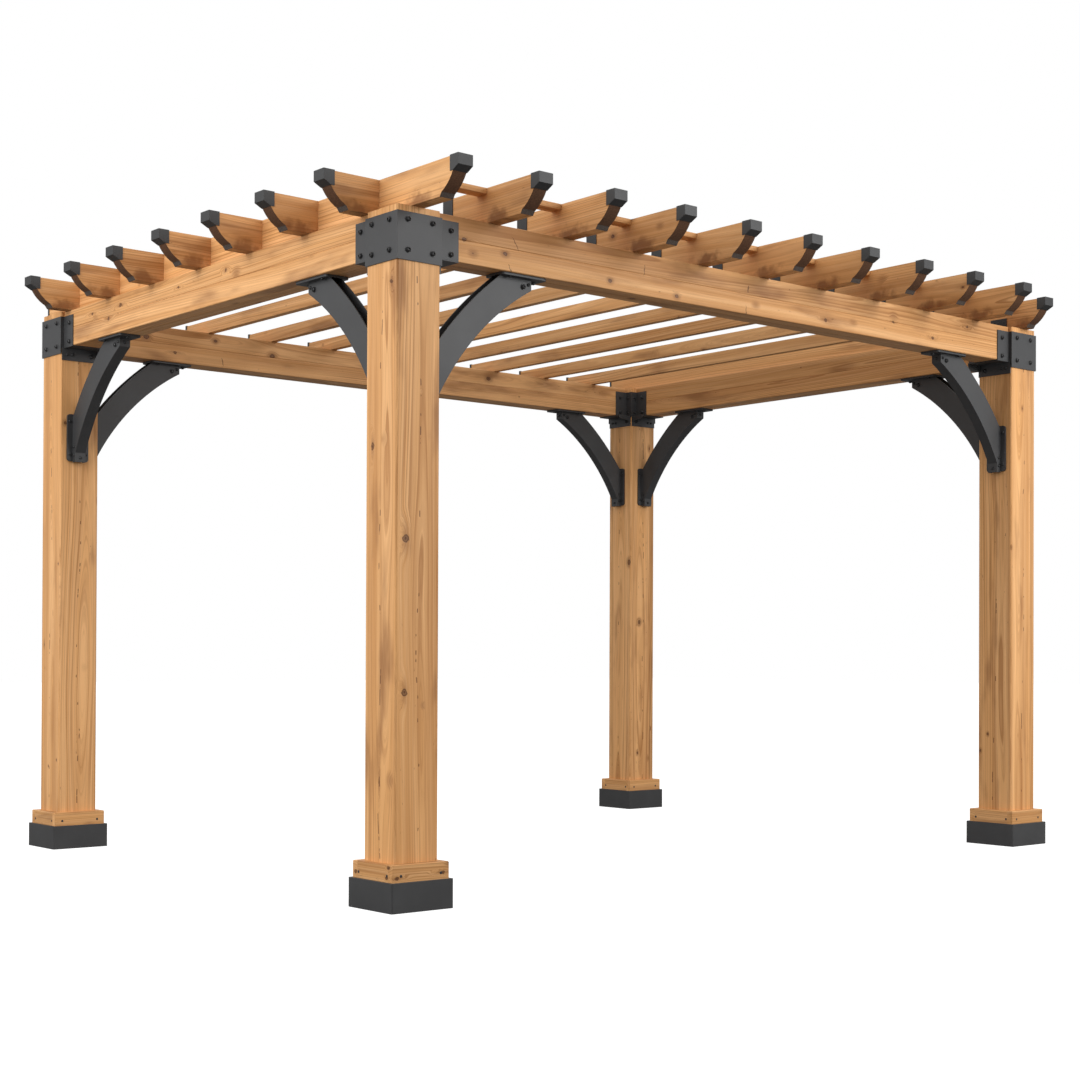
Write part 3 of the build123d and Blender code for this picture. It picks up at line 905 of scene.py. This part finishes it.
class PERGOLA_OT_studio(bpy.types.Operator):
    """Set the floor, the white backdrop, the lamps and the camera"""

    bl_idname = "pergola.studio"
    bl_label = "Studio"

    def execute(self, context):
        setup = context.scene.pergola_studio
        self.add_floor(setup)
        self.add_world(context.scene, setup)
        self.add_lamp("Side lamp", setup.side_place, setup.lamp_side, setup.side_level)
        self.add_lamp("Front lamp", setup.front_place, setup.lamp_side, setup.front_level)
        self.add_camera(context.scene, setup)
        context.scene.view_settings.view_transform = "Standard"
        return {"FINISHED"}

    def seen_directly(self, tree):
        """1 for rays that show the floor or the sky as a backdrop, 0 for those that light the object."""
        path = add_node(tree, "ShaderNodeLightPath")
        return math(tree, "MAXIMUM", path.outputs["Is Camera Ray"], path.outputs["Is Transmission Ray"])

    def add_floor(self, setup):
        corners = [(x * FLOOR_HALF, y * FLOOR_HALF, 0) for x, y in ((-1, -1), (1, -1), (1, 1), (-1, 1))]
        mesh = bpy.data.meshes.new("Floor")
        mesh.from_pydata(corners, [], [(0, 1, 2, 3)])
        floor = bpy.data.objects.new("Floor", mesh)
        bpy.context.scene.collection.objects.link(floor)
        material = bpy.data.materials.new("Studio floor")
        material.use_nodes = True
        tree = material.node_tree
        tree.nodes.clear()
        plain, shade = (
            add_node(tree, "ShaderNodeBsdfDiffuse", {"Color": (level, level, level, 1)})
            for level in (setup.floor, setup.shade)
        )
        glow = add_node(tree, "ShaderNodeEmission", {"Color": (1, 1, 1, 1), "Strength": setup.glow})
        white = add_node(tree, "ShaderNodeAddShader", {0: shade.outputs[0], 1: glow.outputs[0]})
        inputs = {0: self.seen_directly(tree), 1: plain.outputs[0], 2: white.outputs[0]}
        mixed = add_node(tree, "ShaderNodeMixShader", inputs)
        add_node(tree, "ShaderNodeOutputMaterial", {0: mixed.outputs[0]})
        mesh.materials.append(material)

    def add_world(self, scene, setup):
        world = bpy.data.worlds.new("White studio")
        world.use_nodes = True
        tree = world.node_tree
        tree.nodes.clear()
        seen = self.seen_directly(tree)
        strength = fade(tree, seen, 0, 1, setup.sky, 1.0)
        sky = add_node(tree, "ShaderNodeBackground", {"Color": (1, 1, 1, 1), "Strength": strength})
        add_node(tree, "ShaderNodeOutputWorld", {0: sky.outputs[0]})
        scene.world = world

    def add_lamp(self, name, spot, side, level):
        """Square lamp that lights a facing white surface at the middle to level."""
        toward = LAMP_AIM - Vector(spot)
        lamp = bpy.data.lights.new(name, "AREA")
        lamp.size = side
        lamp.energy = level * pi * pi * toward.length_squared
        holder = bpy.data.objects.new(name, lamp)
        holder.location = spot
        holder.rotation_euler = toward.to_track_quat("-Z", "Y").to_euler()
        holder.visible_camera = False
        bpy.context.scene.collection.objects.link(holder)

    def add_camera(self, scene, setup):
        camera = bpy.data.cameras.new("Camera")
        camera.sensor_width = 36
        camera.lens = setup.lens
        camera.shift_y = setup.rise
        camera.clip_end = 200
        holder = bpy.data.objects.new("Camera", camera)
        turn = Matrix.Rotation(setup.turn, 4, "Z")
        tilt = Matrix.Rotation(setup.tilt, 4, "X")
        roll = Matrix.Rotation(setup.roll, 4, "Z")
        holder.matrix_world = Matrix.Translation(setup.eye) @ turn @ tilt @ roll
        scene.collection.objects.link(holder)
        scene.camera = holder


class PERGOLA_PT_panel(bpy.types.Panel):
    """Steps that dress the pergola"""

    bl_idname = "PERGOLA_PT_panel"
    bl_label = "Pergola"
    bl_space_type = "VIEW_3D"
    bl_region_type = "UI"
    bl_category = "Pergola"

    def draw(self, context):
        for step in STEPS:
            self.layout.operator(step.bl_idname)
        for settings in SETTINGS:
            box = self.layout.box()
            group = getattr(context.scene, settings)
            for name in group.bl_rna.properties.keys():
                if name not in ("rna_type", "name"):
                    box.prop(group, name)


STEPS = (
    PERGOLA_OT_studio,
    PERGOLA_OT_cedar,
    PERGOLA_OT_steel,
    PERGOLA_OT_bracket_bolts,
    PERGOLA_OT_saddle_bolts,
    PERGOLA_OT_brace_bolts,
    PERGOLA_OT_screws,
)
SETTINGS = {
    "pergola_cedar": CedarLook,
    "pergola_steel": SteelLook,
    "pergola_fasteners": FastenerSizes,
    "pergola_studio": StudioSetup,
}


def register():
    for settings in SETTINGS.values():
        bpy.utils.register_class(settings)
    for name, settings in SETTINGS.items():
        setattr(bpy.types.Scene, name, bpy.props.PointerProperty(type=settings))
    for step in STEPS:
        bpy.utils.register_class(step)
    bpy.utils.register_class(PERGOLA_PT_panel)


def unregister():
    bpy.utils.unregister_class(PERGOLA_PT_panel)
    for step in reversed(STEPS):
        bpy.utils.unregister_class(step)
    for name, settings in SETTINGS.items():
        delattr(bpy.types.Scene, name)
        bpy.utils.unregister_class(settings)


def main():
    register()
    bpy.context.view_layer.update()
    bpy.ops.pergola.studio()
    bpy.ops.pergola.cedar()
    bpy.ops.pergola.steel()
    bpy.ops.pergola.bracket_bolts()
    bpy.ops.pergola.saddle_bolts()
    bpy.ops.pergola.brace_bolts()
    bpy.ops.pergola.screws()


if __name__ == "__main__":
    main()
